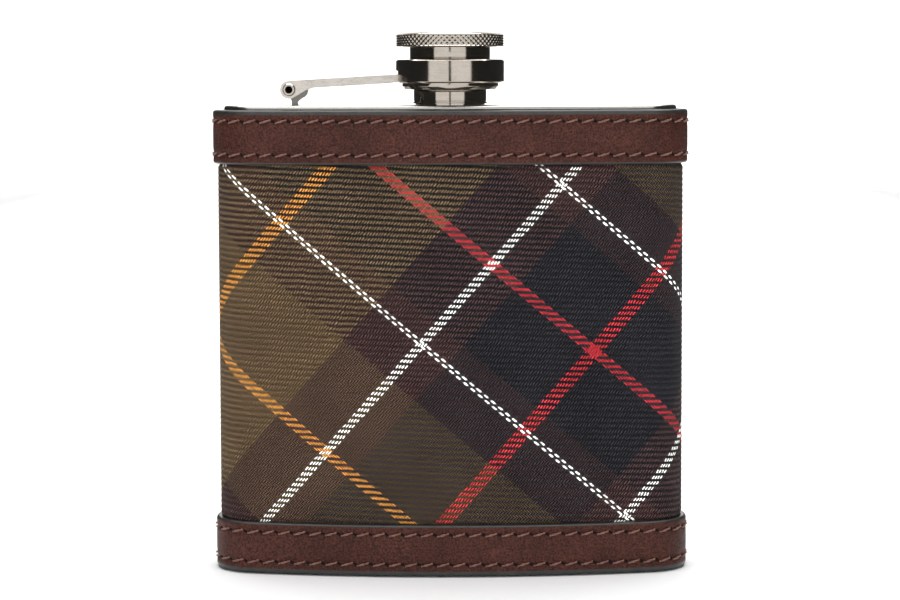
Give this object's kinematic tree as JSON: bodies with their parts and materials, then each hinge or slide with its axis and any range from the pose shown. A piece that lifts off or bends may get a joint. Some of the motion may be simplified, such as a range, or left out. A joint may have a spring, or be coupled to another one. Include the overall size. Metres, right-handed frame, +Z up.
{
  "type": "hip flask",
  "caption": "Pocket steel flask with a rounded front, a tartan and leather sleeve, and a knurled screw cap held captive by a hinged arm.",
  "frame": {"origin": "middle of the footprint, on the face the flask stands on", "axes": "+Z up through the cap, +X along the width to the right as seen from the rounded front, -Y towards the rounded front"},
  "size_m": [0.0952, 0.0249, 0.1086],
  "materials": {
    "steel_body": "satin stainless steel",
    "polished_steel": "polished steel",
    "satin_steel": "fine satin steel",
    "brown_leather": "smooth waxed leather with painted edges",
    "tartan_cloth": "wool twill tartan cut on the bias",
    "lining_board": "bonded backing",
    "brown_thread": "waxed twisted thread",
    "seal_rubber": "soft matt seal"
  },
  "bodies": {
    "flask": {"body_shell": "steel_body", "base_plate": "steel_body", "top_plate": "steel_body", "neck": "polished_steel", "sleeve_lining": "lining_board", "tartan_wrap": "tartan_cloth", "top_band": "brown_leather", "bottom_band": "brown_leather", "top_band_upper_thread": "brown_thread", "top_band_lower_thread": "brown_thread", "bottom_band_upper_thread": "brown_thread", "bottom_band_lower_thread": "brown_thread", "hinge_bracket": "polished_steel"},
    "arm": {"arm": "satin_steel", "hinge_rivet": "polished_steel", "collar_pin": "polished_steel"},
    "collar": {"collar": "polished_steel"},
    "seal": {"cap_seal": "seal_rubber"},
    "cap": {"cap": "polished_steel", "retaining_ring": "polished_steel"}
  },
  "joints": [
    {"name": "arm_swing", "type": "hinge", "parent": "flask", "child": "arm", "pos_m": [-0.0319, -0.00106, 0.0962], "axis": [0, -1, 0], "range_deg": [0, 175]},
    {"name": "collar_tilt", "type": "hinge", "parent": "arm", "child": "collar", "pos_m": [-0.0096, -0.00106, 0.0985], "axis": [0, -1, 0], "range_deg": [0, 17.6]},
    {"name": "cap_rise", "type": "slide", "parent": "collar", "child": "seal", "axis": [0, 0, 1], "range_m": [0, 0.00201]},
    {"name": "cap_turn", "type": "hinge", "parent": "seal", "child": "cap", "pos_m": [0, -0.00106, 0.1], "axis": [0, 0, 1], "range_deg": [0, 720]}
  ],
  "couplings": [
    {"joint": "cap_rise", "follows": "cap_turn", "m_per_rad": 0.00015915},
    {"joint": "collar_tilt", "follows": "arm_swing", "ratio": 0.1}
  ]
}
